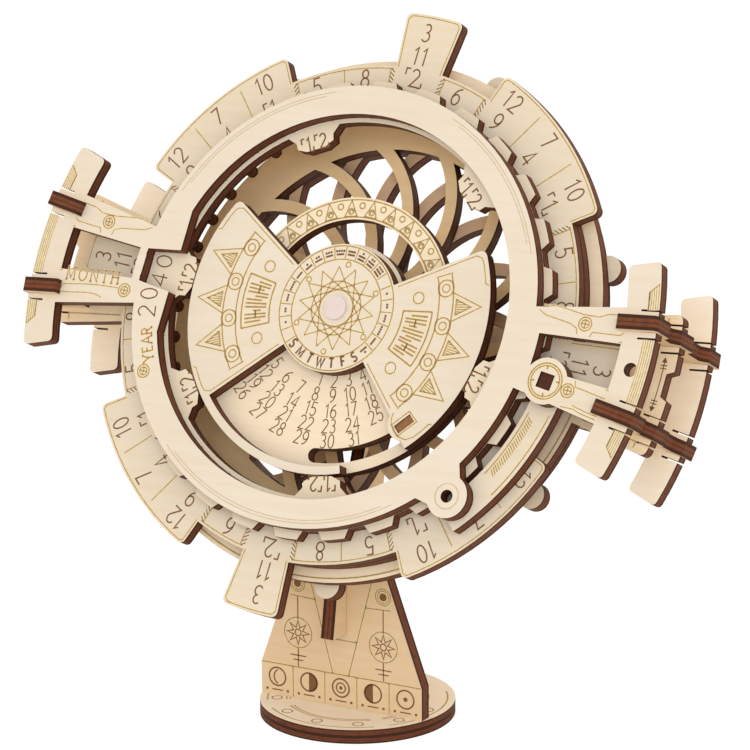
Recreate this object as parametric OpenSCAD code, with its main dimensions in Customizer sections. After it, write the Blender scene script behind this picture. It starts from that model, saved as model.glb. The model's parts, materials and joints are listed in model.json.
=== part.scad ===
// Perpetual desk calendar, laser-cut plywood on a round foot.
// Millimetres, +Z up, origin at the centre of the foot's underside, -Y is the front.
//
// The dials are drawn in "head" coordinates: X to the right, Y up the dial face and
// Z out of the face towards the reader. Z = 0 is the front of the month dial, and
// clock angles run clockwise from 12. head() leans that frame back on the stand and
// turns it on about its own axle, as the calendar stands when it isn't set level.

/* [Sheet] */
// Thickness of the plywood sheet
ply = 3; // [2.6:0.1:3.2]
// Free play on each face of a dial that turns
face_play = 0.1; // [0.05:0.05:0.15]
// Radial play of a ring that turns inside another
ring_play = 0.3; // [0.2:0.05:0.4]
// Clearance all round in a slot that takes a sheet
slot_fit = 0.05; // [0:0.01:0.1]

/* [Stand] */
// Radius of the round foot
foot_r = 20.5; // [20:0.5:26]
// Height of the dial centre above the table
hub_z = 87.1; // [86.5:0.1:96]
// Dial centre behind the foot's centre, negative in front of it
hub_y = -4.9; // [-7:0.1:-4.6]
// How far the dials lean back
lean = 25.7; // [25.2:0.1:29]
// How far the head is turned on from level, clockwise
head_turn = 4.5; // [0:0.5:6]
// Width of the stand plate at the foot
stand_w = 38.4; // [34:0.1:38.6]
// Height of the stand plate above the foot
stand_h = 37; // [35:0.5:37.5]

/* [Frames] */
// Inner radius of the front ring
front_in_r = 40; // [39.5:0.1:40.5]
// Outer radius of the front ring
front_out_r = 46; // [45.8:0.1:46.2]
// Inner radius of the upright end bars
bar_in_r = 65.3; // [65:0.1:65.8]
// Outer radius of the upright end bars
bar_out_r = 72.2; // [71.6:0.1:73]
// Half of the angle that an end bar spans
bar_half = 17.7; // [16:0.1:19]
// Half of the angle that an arm spans
arm_half = 10.4; // [9.8:0.1:10.8]
// Half of the angle of the reading window in an arm
window_half = 4; // [3.6:0.1:4.4]
// Angle of a cross rib above or below the middle of its arm
rib_angle = 7.6; // [7.2:0.1:7.8]

/* [Dials] */
// Outer radius of the month dial between its tabs
month_r = 52.2; // [51.8:0.1:52.6]
// Outer radius of the wide month tabs
wide_tab_r = 58.1; // [57.6:0.1:58.6]
// Outer radius of the narrow month tabs
narrow_tab_r = 63.7; // [63:0.1:64]
// How far the month dial is turned on from twelve o'clock
month_turn = 1.6; // [0:0.1:3]
// Outer radius of the sun mask
mask_r = 34.4; // [34:0.1:34.6]
// Outer radius of the date plate
date_r = 33.8; // [33.5:0.1:35]
// Blades in each lattice wheel
blades = 16; // [12:1:18]
// Teeth inside the middle frame's ring
ring_teeth = 42; // [36:1:48]

/* [Hidden] */
$fn = 96;
sectors = 28;                       // a dial has 4 turns of 7 weekdays
pitch = 360 / sectors;
run_ply = ply - 2 * face_play;      // a dial that turns, less its play
disc_ply = ply / 2;                 // the foot is two thin discs
foot_h = 2 * disc_ply;

// Back faces of the layers, along the head's Z
z_front = ply;                      // front frame
z_year = 0;                         // year dial, sun mask and guard arc
z_month = -ply;                     // month dial and date plate
z_slide = -2 * ply;                 // slide ring
z_mid = -3 * ply;                   // middle frame
z_back = -4 * ply;                  // back ring
z_lattice_front = -5 * ply;
z_lattice_rear = -6 * ply;
z_rear = -8 * ply;                  // rear frame
rib_proud = 1.8;                    // ribs stand past the outer frames

axle_r = 2.5;
axle_nose = 0.7;                    // how far the axle stands out of the mask
axle_tail = 3.8;                    // and out of the rear frame
run_bore = axle_r + 0.06;

notch_r = 68.7;                     // where a rib and a bar lap half and half
rib_in_r = 64.4;
rib_out_r = 73;
relief_off = 2.8;                   // relief slits beside each rib slot
relief_w = 0.4;
relief_in_r = 68.4;

collar_in_r = 44.2;                 // collar on the month dial's back
collar_out_r = 47.8;
slide_in_r = collar_out_r + ring_play;
slide_out_r = 52;
month_in_r = 42;
mid_root_r = 44.9;                  // toothed inner edge of the middle frame
mid_tip_r = 43;
ring_tooth_w = 2.5;
ring_tooth_turn = 6.2;
back_in_r = 47.6;
mid_out_r = 54.8;
mid_arm_half = 11.6;
lobes = 7;
lobe_r = 2.8;
lobe_first = 67.6;

year_in_r = 39.1;
year_root_r = 46;
year_tip_r = 47.8;
year_tooth_turn = 2;                // the teeth are turned on from the tabs
year_tab_end_r = mask_r + ring_play;
year_leaps = 6;                     // leap tabs, five sectors apart
leap_step = 5;
year_zero = 270;

guard_in_r = year_tip_r + 1.3;
guard_out_r = 55.1;
guard_from = 93.4;
guard_to = 134;
badge_r = 51.9;
badge_angle = 96.3;
badge_boss = 4.7;
peg_w = 3.1;
lug_r = 49.5;
lug_angle = 130.4;
lug_tip = 4.4;
lug_hole = 1.3;

lattice_out_r = 46.1;
lattice_rim_r = 37.6;
lattice_hub_r = 10.5;
lattice_front_turn = 12.5;
lattice_rear_turn = 17.4;
blade_w = 2.6;
blade_path = [[lattice_rim_r, -2.3], [30, 8], [22, 14.9]];  // radius and clock angle

slot_mid_r = 29.95;                 // travel slot of the date plate
slot_w = 3;
slot_steps = 3;                     // weekdays either way
stop_angle = 131.4;
stop_w = 1.9;
stop_l = 4.1;
stop_tail = 2.1;                    // half length of the peg inside the slot

birch = "#e8dcc4";
shade = "#c9ad83";
char = "#6b3a22";

function polar(r, a) = [r * sin(a), r * cos(a)];

// Where two plates of the leaning head meet the upright stand
function head_y(v, w) = hub_y + v * sin(lean) - w * cos(lean);
function head_z(v, w) = hub_z + v * cos(lean) + w * sin(lean);

function circle_centre(p, q, s) =
    let (d = 2 * (p.x * (q.y - s.y) + q.x * (s.y - p.y) + s.x * (p.y - q.y)),
         pp = p * p, qq = q * q, ss = s * s)
    [(pp * (q.y - s.y) + qq * (s.y - p.y) + ss * (p.y - q.y)) / d,
     (pp * (s.x - q.x) + qq * (p.x - s.x) + ss * (q.x - p.x)) / d];

// Points of the arc from p to s by way of q
function arc_through(p, q, s, n) =
    let (c = circle_centre(p, q, s), r = norm(p - c),
         a0 = atan2(p.y - c.y, p.x - c.x),
         aq = (atan2(q.y - c.y, q.x - c.x) - a0 + 720) % 360,
         as = (atan2(s.y - c.y, s.x - c.x) - a0 + 720) % 360,
         turn = aq <= as ? as : as - 360)
    [for (i = [0:n]) c + r * [cos(a0 + turn * i / n), sin(a0 + turn * i / n)]];

// level() is square to the stand and head() is turned on by head_turn
module level() {
    translate([0, hub_y, hub_z]) rotate([90 - lean, 0, 0]) children();
}

module head() {
    level() rotate(-head_turn) children();
}

module sheet(z, t = ply) {
    translate([0, 0, z]) linear_extrude(t) children();
}

module clock(a, r = 0) {
    rotate(-a) translate([0, r]) children();
}

// A slice of the plane from clock angle a0 to a1, at most about 150 degrees
module wedge(a0, a1, r = 90) {
    step = (a1 - a0) / 4;
    polygon(concat([[0, 0]], [for (i = [0:4]) polar(1.3 * r, a0 + i * step)]));
}

module ring(r0, r1) {
    difference() {
        circle(r1, $fn = 180);
        circle(r0, $fn = 180);
    }
}

module ring_sector(r0, r1, a0, a1) {
    intersection() {
        ring(r0, r1);
        wedge(a0, a1, r1);
    }
}

// A sector whose two outer corners are rounded. The corner discs sit a hair
// inside the outline, so that no two arcs are exactly tangent.
hair = 0.03;

module tab_sector(r0, r1, half, corner) {
    corner_r = r1 - corner - hair;
    turn = asin((corner + hair) / corner_r);
    ring_sector(r0, r1, -half + turn, half - turn);
    ring_sector(r0, corner_r * cos(turn), -half, half);
    for (s = [-1, 1]) clock(s * (half - turn), corner_r) circle(corner, $fn = 24);
}

// An end bar: a sector with four rounded corners
module end_bar(corner = 0.9) {
    out_r = bar_out_r - corner - hair;
    in_r = bar_in_r + corner + hair;
    turn_out = asin((corner + hair) / out_r);
    turn_in = asin((corner + hair) / in_r);
    ring_sector(bar_in_r, bar_out_r, -bar_half + turn_in, bar_half - turn_in);
    ring_sector(in_r, out_r, -bar_half, bar_half);
    for (s = [-1, 1]) {
        clock(s * (bar_half - turn_out), out_r) circle(corner, $fn = 24);
        clock(s * (bar_half - turn_in), in_r) circle(corner, $fn = 24);
    }
}

// What a cross rib takes out of a bar: its slot and two relief slits
module rib_slots() {
    far = bar_out_r - notch_r + 3;
    for (s = [-1, 1]) rotate(-s * rib_angle) {
        translate([-ply / 2 - slot_fit, notch_r]) square([ply + 2 * slot_fit, far]);
        for (t = [-1, 1])
            translate([t * relief_off - relief_w / 2, relief_in_r]) square([relief_w, far]);
    }
}

// ---------------------------------------------------------------- stand

module base_disc_lower() {
    color(char) cylinder(r = foot_r, h = disc_ply, $fn = 180);
}

tenon_w = 23.4;
tenon_half_w = tenon_w / 2;
stand_y = -7;                       // front of the stand plate
fin_tenon_y0 = 1;
fin_tenon_y1 = 13;

module base_disc_upper() {
    color(birch) translate([0, 0, disc_ply]) linear_extrude(disc_ply) difference() {
        circle(foot_r, $fn = 180);
        translate([-tenon_half_w - slot_fit, stand_y - slot_fit])
            square([tenon_w + 2 * slot_fit, ply + 2 * slot_fit]);
        translate([-ply / 2 - slot_fit, fin_tenon_y0 - slot_fit])
            square([ply + 2 * slot_fit, fin_tenon_y1 - fin_tenon_y0 + 2 * slot_fit]);
    }
}

plate_foot_h = 7;                   // upright lower edge, then the taper
plate_top_w = 16.6;
fin_slot_z0 = 16.3;                 // above the foot
fin_slot_z1 = 32.5;

module stand_front_plate() {
    color(birch) translate([0, stand_y + ply, foot_h]) rotate([90, 0, 0])
    linear_extrude(ply) difference() {
        union() {
            polygon([
                [-stand_w / 2, 0], [stand_w / 2, 0],
                [stand_w / 2, plate_foot_h],
                [plate_top_w / 2, stand_h], [-plate_top_w / 2, stand_h],
                [-stand_w / 2, plate_foot_h]
            ]);
            translate([-tenon_half_w, -disc_ply]) square([tenon_w, disc_ply + 1]);
        }
        translate([-ply / 2 - slot_fit, fin_slot_z0])
            square([ply + 2 * slot_fit, fin_slot_z1 - fin_slot_z0]);
        translate([-ply / 2 - slot_fit, -disc_ply - 1])
            square([ply + 2 * slot_fit, 1]);
    }
}

// The fin stands upright on the foot, hooks through the stand plate and rises
// behind the dials to lap with the rear frame under the hub.
fin_back_y = 15;
fin_nose_y = stand_y - 5.5;         // the hook's toe
lap_v = -9.8;                       // where fin and rear frame lap
fin_tip_v = -6.4;
fin_neck_v = -15;
fin_front_w = z_lattice_rear - 0.3; // the fork grips both faces of the frame
fin_back_w = z_rear - 3.6;

function head_point(v, w) = [head_y(v, w), head_z(v, w)];

module fin_outline() {
    hook_z0 = foot_h + fin_slot_z0 + slot_fit;
    hook_z1 = foot_h + fin_slot_z1 - slot_fit;
    neck_back = head_point(fin_neck_v, fin_back_w);
    neck_front = head_point(fin_neck_v, fin_front_w);
    free_y = stand_y + ply + 0.8;
    polygon(concat(
        arc_through([fin_back_y, foot_h], [7.5, 34], neck_back, 14),
        [head_point(fin_tip_v, fin_back_w), head_point(fin_tip_v, fin_front_w)],
        arc_through(neck_front, head_point(-27.6, fin_front_w - 0.6),
                    [free_y, foot_h + stand_h + 2], 8),
        [[free_y, hook_z1]],
        arc_through([stand_y - 3, hook_z1], [stand_y - 3.5, 31], [fin_nose_y, hook_z0], 8),
        [[stand_y + ply, hook_z0], [stand_y + ply, foot_h]]
    ));
}

module stand_fin() {
    color(birch) difference() {
        union() {
            rotate([90, 0, 90]) translate([0, 0, -ply / 2]) linear_extrude(ply) fin_outline();
            translate([-ply / 2, fin_tenon_y0, disc_ply])
                cube([ply, fin_tenon_y1 - fin_tenon_y0, disc_ply + 1]);
        }
        level() translate([-ply, lap_v, z_rear - slot_fit])
            cube([2 * ply, 12, ply + 2 * slot_fit]);
    }
}

// ---------------------------------------------------------------- frames

// Notch beside the year: it opens through a flat on the ring's inner edge
module year_notch() {
    corner = 1;
    polygon([[-46.6 + corner, 3.5], [-36, 4.7], [-36, -4.7], [-46.6 + corner, -3.5]]);
    translate([-45.6, -2.6]) square([2, 5.2]);
    for (s = [-1, 1]) translate([-45.6 + corner - 0.1, s * 2.5]) circle(corner, $fn = 24);
}

module front_ring() {
    difference() {
        union() {
            circle(front_out_r, $fn = 180);
            for (a = [90, 270]) rotate(-a) {
                ring_sector(front_out_r - 2, bar_in_r + 1, -arm_half, arm_half);
                end_bar();
            }
            // lug at the lower right
            clock(lug_angle, lug_r) circle(lug_tip, $fn = 64);
            rotate(-lug_angle) polygon([
                [-7.2, 43], [7.2, 43], [lug_tip * 0.94, lug_r - 1.2], [-lug_tip * 0.94, lug_r - 1.2]
            ]);
        }
        difference() {
            circle(front_in_r, $fn = 180);
            // flat that thickens the ring beside the year window
            translate([-42, -20]) square([42 - 37.8, 40]);
        }
        for (a = [90, 270]) rotate(-a) {
            ring_sector(47.6, bar_in_r, -window_half, window_half);
            rib_slots();
        }
        year_notch();
        clock(90, 68.6) circle(1.4, $fn = 32);
        clock(lug_angle, lug_r) circle(lug_hole, $fn = 32);
    }
}

module front_frame() {
    color(birch) head() sheet(z_front) difference() {
        union() {
            front_ring();
            clock(badge_angle, badge_r) circle(badge_boss, $fn = 64);
        }
        clock(badge_angle, badge_r) rotate(90) square(peg_w + 2 * slot_fit, center = true);
    }
}

module guard_arc() {
    color(birch) head() sheet(z_year) difference() {
        ring_sector(guard_in_r, guard_out_r, guard_from, guard_to);
        clock(badge_angle, badge_r) rotate(90) square(peg_w + 2 * slot_fit, center = true);
        clock(lug_angle, lug_r) circle(lug_hole, $fn = 32);
    }
}

// Four square strips fill the badge, two by two
module badge_peg() {
    strip = peg_w / 2 - 0.04;
    color(char) head() for (i = [-1, 1], j = [-1, 1])
        sheet(z_year, 2 * ply - 0.4) clock(badge_angle, badge_r) rotate(90)
            translate([i * peg_w / 4, j * peg_w / 4]) square(strip, center = true);
}

// One rounded tooth that points inwards from the middle frame's ring
module ring_tooth() {
    tip_r = ring_tooth_w / 2;
    translate([0, mid_tip_r + tip_r]) circle(tip_r, $fn = 32);
    translate([hair - tip_r, mid_tip_r + tip_r])
        square([2 * (tip_r - hair), mid_root_r - mid_tip_r]);
}

module middle_frame() {
    color(birch) head() sheet(z_mid) difference() {
        union() {
            circle(mid_out_r, $fn = 180);
            for (a = [90, 270]) rotate(-a)
                tab_sector(back_in_r, bar_out_r, mid_arm_half, 1.2);
        }
        difference() {
            circle(mid_root_r, $fn = 180);
            for (i = [0:ring_teeth - 1]) clock(ring_tooth_turn + i * 360 / ring_teeth) ring_tooth();
        }
        for (a = [90, 270]) rotate(-a) {
            rib_slots();
            polygon([[-3.6, bar_out_r + 1], [3.6, bar_out_r + 1], [2.3, 70.6], [-2.3, 70.6]]);
        }
    }
}

module slide_ring() {
    color(shade) head() sheet(z_slide) ring(slide_in_r, slide_out_r);
}

module back_ring() {
    color(birch) head() sheet(z_back) difference() {
        union() {
            circle(mid_out_r - 1, $fn = 180);
            for (i = [0:lobes - 1])
                clock(lobe_first + i * 360 / lobes, mid_out_r) circle(lobe_r, $fn = 48);
        }
        circle(back_in_r, $fn = 180);
    }
}

beam_half = 7;
rear_hub_r = 13;

module rear_frame() {
    color(birch) head() sheet(z_rear) difference() {
        union() {
            for (a = [90, 270]) rotate(-a) {
                end_bar();
                polygon([[-beam_half, 0], [beam_half, 0], [11, bar_in_r + 1], [-11, bar_in_r + 1]]);
            }
            circle(rear_hub_r, $fn = 96);
        }
        for (a = [90, 270]) rotate(-a) {
            rib_slots();
            // long slot that lightens each arm
            hull_free_slot(18, 54, 2.6);
        }
        circle(axle_r, $fn = 64);
        // the fin's slot stays upright
        rotate(head_turn) translate([-ply / 2 - slot_fit, -rear_hub_r - 1])
            square([ply + 2 * slot_fit, rear_hub_r + 1 + lap_v]);
    }
}

module hull_free_slot(r0, r1, half_w) {
    translate([-half_w, r0]) square([2 * half_w, r1 - r0]);
    translate([0, r0]) circle(half_w, $fn = 32);
    translate([0, r1]) circle(half_w, $fn = 32);
}

// Comb-shaped plate that slides in from the side over the three frames
module cross_rib(side, angle) {
    front = z_front + ply + rib_proud;
    back = z_rear - rib_proud;
    color(char) head() rotate(-side * 90 + side * angle) rotate([90, 0, 90])
    translate([0, 0, -ply / 2]) linear_extrude(ply) difference() {
        polygon([
            [rib_in_r, front], [rib_out_r - 0.6, front], [rib_out_r, front - 0.8],
            [rib_out_r, z_front - 1.6], [rib_out_r - 1.6, z_front - 3],
            [rib_out_r - 1.6, z_mid + ply + 3], [rib_out_r, z_mid + ply + 1.6],
            [rib_out_r, z_mid - 1.6], [rib_out_r - 1.6, z_mid - 3],
            [rib_out_r - 1.6, z_rear + ply + 3], [rib_out_r, z_rear + ply + 1.6],
            [rib_out_r, back + 0.8], [rib_out_r - 0.6, back],
            [rib_in_r, back], [rib_in_r, z_rear + ply + 2.4], [rib_in_r + 1.6, z_rear + ply + 4],
            [rib_in_r + 1.6, z_mid - 4], [rib_in_r, z_mid - 2.4],
            [rib_in_r, z_mid + ply + 2.4], [rib_in_r + 1.6, z_mid + ply + 4],
            [rib_in_r + 1.6, z_front - 4], [rib_in_r, z_front - 2.4]
        ]);
        for (z = [z_front, z_mid, z_rear])
            translate([rib_in_r - 1, z - slot_fit])
                square([notch_r - slot_fit - rib_in_r + 1, ply + 2 * slot_fit]);
    }
}

module cross_rib_left_upper() { cross_rib(-1, rib_angle); }
module cross_rib_left_lower() { cross_rib(-1, -rib_angle); }
module cross_rib_right_upper() { cross_rib(1, rib_angle); }
module cross_rib_right_lower() { cross_rib(1, -rib_angle); }

// ---------------------------------------------------------------- hub

module axle() {
    color(birch) head() translate([0, 0, z_rear - axle_tail])
        cylinder(r = axle_r, h = ply + axle_nose - z_rear + axle_tail, $fn = 64);
}

module axle_collar() {
    color(birch) head() sheet(z_rear - ply) difference() {
        circle(5, $fn = 64);
        circle(axle_r, $fn = 64);
    }
}

module hub_washer(z, t, r = 5.5) {
    head() sheet(z, t) difference() {
        circle(r, $fn = 64);
        circle(axle_r, $fn = 64);
    }
}

// Three discs between the date plate and the front lattice wheel
module hub_spacer_middle() {
    color(shade) for (z = [z_slide, z_mid, z_back]) hub_washer(z, ply);
}

// Two thin discs between the rear lattice wheel and the rear frame
module hub_spacers_rear() {
    color(shade) for (i = [1:2]) hub_washer(z_lattice_rear - i * disc_ply, disc_ply);
}

// A blade is a strip of one circle, swept from the rim to the hub
module blade() {
    path = [for (p = blade_path) polar(p[0], p[1])];
    c = circle_centre(path[0], path[1], path[2]);
    r = norm(path[0] - c);
    intersection() {
        translate(c) ring(r - blade_w / 2, r + blade_w / 2);
        ring(lattice_hub_r - 1, lattice_rim_r + 1);
        wedge(-14, 62, lattice_rim_r + 2);
    }
}

module lattice() {
    difference() {
        union() {
            ring(lattice_rim_r, lattice_out_r);
            circle(lattice_hub_r, $fn = 96);
            for (i = [0:blades - 1]) rotate(-i * 360 / blades) blade();
        }
        circle(axle_r, $fn = 64);
    }
}

module lattice_front() {
    color(shade) head() sheet(z_lattice_front) rotate(-lattice_front_turn) lattice();
}

// The same wheel turned face about, so that its blades cross the front wheel's
module lattice_rear() {
    color(shade) head() sheet(z_lattice_rear) rotate(-lattice_rear_turn) mirror([1, 0]) lattice();
}

// ---------------------------------------------------------------- faces

weekday_r = 13.4;
mask_low = 45;                      // half of the lower window, 7 columns wide
mask_high = 58.5;                   // half of the upper window
mask_corner = 1.3;
mask_rim_r = 32.7;                  // a thin rim closes the lower window

module mask_sector() {
    mid = (mask_high + 180 - mask_low) / 2;
    half = (180 - mask_low - mask_high) / 2;
    rotate(-mid) tab_sector(weekday_r - 3, mask_r, half, mask_corner);
}

module sun_mask() {
    color(birch) head() sheet(z_year) difference() {
        union() {
            circle(weekday_r, $fn = 120);
            mask_sector();
            mirror([1, 0]) mask_sector();
            ring_sector(mask_rim_r, mask_r, 175 - mask_low, 185 + mask_low);
            // rounded tab that covers the stop peg
            clock(stop_angle, slot_mid_r - 0.1) circle(3.6, $fn = 48);
        }
        circle(axle_r, $fn = 64);
        clock(stop_angle, slot_mid_r) square([stop_l, stop_w], center = true);
    }
}

module stop_peg() {
    fit = 0.04;
    color(char) head() sheet(z_month, 2 * ply - 0.3) clock(stop_angle, slot_mid_r)
        square([stop_l - 2 * fit, stop_w - 2 * fit], center = true);
}

band_in_r = 19.4;
band_out_r = 24.05;
date_hub_r = 14.2;
fan_half = 6.5 * pitch;             // thirteen columns of dates

module date_plate() {
    travel = slot_steps * pitch + asin((stop_tail + 0.15) / slot_mid_r);
    color(birch) head() sheet(z_month + face_play, run_ply) difference() {
        union() {
            circle(date_hub_r, $fn = 96);
            ring(band_in_r, band_out_r);
            for (s = [-1, 1]) ring_sector(date_hub_r - 1, date_r, 180 + (s < 0 ? -fan_half : 0),
                                          180 + (s < 0 ? 0 : fan_half));
        }
        circle(run_bore, $fn = 64);
        ring_sector(slot_mid_r - slot_w / 2, slot_mid_r + slot_w / 2,
                    stop_angle - travel, stop_angle + travel);
        for (s = [-1, 1])
            clock(stop_angle + s * travel, slot_mid_r) circle(slot_w / 2, $fn = 32);
    }
}

module year_teeth() {
    tip = 2.4;
    root = 4.9;
    for (i = [0:sectors - 1]) rotate(-(i + 0.5) * pitch - year_tooth_turn)
        polygon([polar(year_root_r - 1, -root), polar(year_tip_r + 1, -tip),
                 polar(year_tip_r + 1, tip), polar(year_root_r - 1, root)]);
}

// Leap-year tab: flared root, straight sides, chamfered end
module leap_tab() {
    end_half = 3.6;
    side = 6.6;
    flare = 9.3;
    polygon([polar(41.5, -flare), polar(39.6, -flare), polar(37.3, -side),
             polar(year_tab_end_r + 1.2, -side),
             [-2.1, year_tab_end_r], [2.1, year_tab_end_r],
             polar(year_tab_end_r + 1.2, side), polar(37.3, side),
             polar(39.6, flare), polar(41.5, flare)]);
}

module year_dial() {
    color(birch) head() sheet(z_year + face_play, run_ply) {
        ring(year_in_r, year_root_r);
        intersection() {
            circle(year_tip_r, $fn = 180);
            year_teeth();
        }
        for (i = [0:year_leaps - 1])
            rotate(-(year_zero + i * leap_step * pitch)) leap_tab();
    }
}

narrow_half = 6.03;
wide_half = 18.71;

module month_dial() {
    color(birch) head() sheet(z_month + face_play, run_ply) rotate(-month_turn) {
        ring(month_in_r, month_r);
        for (i = [0:3]) rotate(-i * 90) {
            tab_sector(month_r - 2, narrow_tab_r, narrow_half, 1.2);
            rotate(-3 * pitch) tab_sector(month_r - 2, wide_tab_r, wide_half, 1.2);
        }
    }
}

module month_collar() {
    color(shade) head() sheet(z_slide + face_play, ply) ring(collar_in_r, collar_out_r);
}

base_disc_lower();
base_disc_upper();
stand_front_plate();
stand_fin();
front_frame();
guard_arc();
badge_peg();
middle_frame();
slide_ring();
back_ring();
rear_frame();
cross_rib_left_upper();
cross_rib_left_lower();
cross_rib_right_upper();
cross_rib_right_lower();
axle();
axle_collar();
lattice_front();
lattice_rear();
hub_spacer_middle();
hub_spacers_rear();
sun_mask();
stop_peg();
date_plate();
year_dial();
month_dial();
month_collar();
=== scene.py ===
"""Perpetual desk calendar: plywood finishes, laser engraving and a plain studio.

Lengths on the sheets are in millimetres, and the stage is in metres. Angles on a dial are in degrees
clockwise from its top, and those of arc() are anticlockwise from +X.
"""

import json
from math import cos, hypot, radians, sin

import bmesh
import bpy
from bpy.props import FloatProperty, FloatVectorProperty, PointerProperty
from mathutils import Matrix, Vector


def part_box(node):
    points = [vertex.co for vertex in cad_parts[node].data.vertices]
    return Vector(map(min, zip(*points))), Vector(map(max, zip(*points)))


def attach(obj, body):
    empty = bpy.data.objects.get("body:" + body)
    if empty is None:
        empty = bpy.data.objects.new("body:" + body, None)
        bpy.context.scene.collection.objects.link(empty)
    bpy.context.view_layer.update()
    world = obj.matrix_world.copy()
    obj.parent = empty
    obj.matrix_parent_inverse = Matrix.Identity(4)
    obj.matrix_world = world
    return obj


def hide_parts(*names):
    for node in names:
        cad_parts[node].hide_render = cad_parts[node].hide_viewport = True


bl_info = {
    "name": "Plywood perpetual calendar",
    "version": (1, 0, 0),
    "blender": (4, 5, 0),
    "location": "View3D > Sidebar > Calendar",
    "description": "Finishes and laser engraving for a leaning plywood desk calendar",
    "category": "Object",
}

MM = 0.001
SHEET = 3               # thickness of one sheet
WEEK = 7
SECTORS = 4 * WEEK      # columns round a dial
PITCH = 360 / SECTORS

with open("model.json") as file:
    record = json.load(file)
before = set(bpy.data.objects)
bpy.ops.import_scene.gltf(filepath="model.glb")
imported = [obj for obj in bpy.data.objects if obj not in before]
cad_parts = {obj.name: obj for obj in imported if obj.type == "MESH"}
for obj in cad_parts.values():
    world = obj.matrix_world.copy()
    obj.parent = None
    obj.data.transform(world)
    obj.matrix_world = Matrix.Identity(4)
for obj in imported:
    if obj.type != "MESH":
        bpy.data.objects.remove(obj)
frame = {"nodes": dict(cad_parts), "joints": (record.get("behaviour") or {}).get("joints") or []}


# ---- settings


COLOUR = {"subtype": "COLOR", "size": 3, "min": 0, "max": 1}


class PlywoodSettings(bpy.types.PropertyGroup):
    face: FloatVectorProperty(name="Face", description="Birch veneer", default=(0.79, 0.725, 0.63), **COLOUR)
    grain: FloatVectorProperty(
        name="Grain", description="Darker streaks of the veneer", default=(0.70, 0.575, 0.42), **COLOUR)
    char: FloatVectorProperty(
        name="Char", description="Burnt outer plies of an edge", default=(0.042, 0.0105, 0.0045), **COLOUR)
    core: FloatVectorProperty(
        name="Core", description="Lighter, redder core ply", default=(0.175, 0.048, 0.016), **COLOUR)
    grain_length: FloatProperty(
        name="Grain length", description="Length of a streak, millimetres", default=22, min=4, max=60)
    roughness: FloatProperty(
        name="Roughness", description="Roughness of the face", subtype="FACTOR", default=0.62, min=0.2, max=1)


class EngravingSettings(bpy.types.PropertyGroup):
    """Burnt lines; every length is in millimetres"""

    fine: FloatProperty(name="Fine line", description="Width of a fine line", default=0.20, min=0.1, max=0.6)
    bold: FloatProperty(
        name="Figure line", description="Width of a line in a figure", default=0.32, min=0.1, max=0.8)
    burn: FloatVectorProperty(
        name="Burn", description="Figures and letters", default=(0.20, 0.105, 0.045), **COLOUR)
    tan: FloatVectorProperty(
        name="Tan", description="Lightly burnt ornament", default=(0.40, 0.25, 0.10), **COLOUR)
    scorch: FloatVectorProperty(
        name="Scorch", description="Yellowed veneer along a line", default=(0.80, 0.67, 0.42), **COLOUR)
    faint: FloatVectorProperty(
        name="Faint", description="Barely burnt border lines", default=(0.55, 0.43, 0.27), **COLOUR)
    scorch_width: FloatProperty(
        name="Scorch width", description="Yellowed veneer beside a line", default=0.12, min=0, max=0.4)
    raise_mm: FloatProperty(
        name="Lift", description="How far a line stands off the sheet", default=0.02, min=0.005, max=0.05)
    date_height: FloatProperty(
        name="Date height", description="Height of a date", default=2.8, min=2, max=3.4)
    month_height: FloatProperty(
        name="Month height", description="Height of a month's number", default=3.7, min=2.5, max=4.5)
    year_height: FloatProperty(
        name="Year height", description="Height of a year's number", default=3.7, min=2.5, max=5)


class HeadSettings(bpy.types.PropertyGroup):
    turn: FloatProperty(
        name="Head turn", description="Head turned clockwise from level", subtype="ANGLE",
        default=radians(4.5), min=0, max=radians(10))
    month_turn: FloatProperty(
        name="Month dial turn", description="Month dial turned clockwise on the head", subtype="ANGLE",
        default=radians(1.6), min=0, max=radians(6))
    face_play: FloatProperty(
        name="Face play", description="Play on a dial's face, millimetres", default=0.1, min=0.05, max=0.2)


class StageSettings(bpy.types.PropertyGroup):
    lens: FloatProperty(
        name="Lens", description="Focal length", unit="CAMERA", default=176.35, min=50, max=300)
    azimuth: FloatProperty(
        name="Azimuth", description="Camera heading", subtype="ANGLE", default=radians(29.62))
    elevation: FloatProperty(
        name="Elevation", description="Camera elevation", subtype="ANGLE", default=radians(14.38))
    roll: FloatProperty(name="Roll", description="Camera roll", subtype="ANGLE", default=radians(-0.36))
    place: FloatVectorProperty(
        name="Place", description="Camera place", subtype="TRANSLATION", unit="LENGTH", size=3,
        default=(0.36430, -0.63257, 0.25982))
    floor: FloatVectorProperty(name="Floor", description="Floor colour", default=(0.90, 0.90, 0.90), **COLOUR)
    key_power: FloatProperty(
        name="Key power", description="Power of the large lamp", unit="POWER", default=1.74, min=0, max=100)
    fill_power: FloatProperty(
        name="Fill power", description="Power of the side lamp", unit="POWER", default=2.14, min=0, max=100)
    lamp_colour: FloatVectorProperty(
        name="Lamp colour", description="Cool light of both lamps", default=(0.746, 0.856, 1.0), **COLOUR)
    ambient: FloatProperty(
        name="Ambient", description="Strength of the even light", default=0.96, min=0, max=2)
    ambient_colour: FloatVectorProperty(
        name="Ambient colour", description="Warm light in the shadows", default=(1.0, 0.89, 0.74), **COLOUR)


# ---- places


def head_axes():
    """Unit vectors of the dials, right, up and out of the face, and the place of the hub."""
    joint = next(j for j in frame["joints"] if j["name"] == "month_turn")
    out = Vector(joint["axis"]).normalized()
    right = Vector((1, 0, 0))
    return right, out.cross(right), out, Vector(joint["pos_m"])


def axes_matrix(x, y, z, origin, scale=1):
    """Matrix whose columns are these axes, times scale, and the origin."""
    return Matrix([(x[i] * scale, y[i] * scale, z[i] * scale, origin[i]) for i in range(3)] + [(0, 0, 0, 1)])


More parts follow.
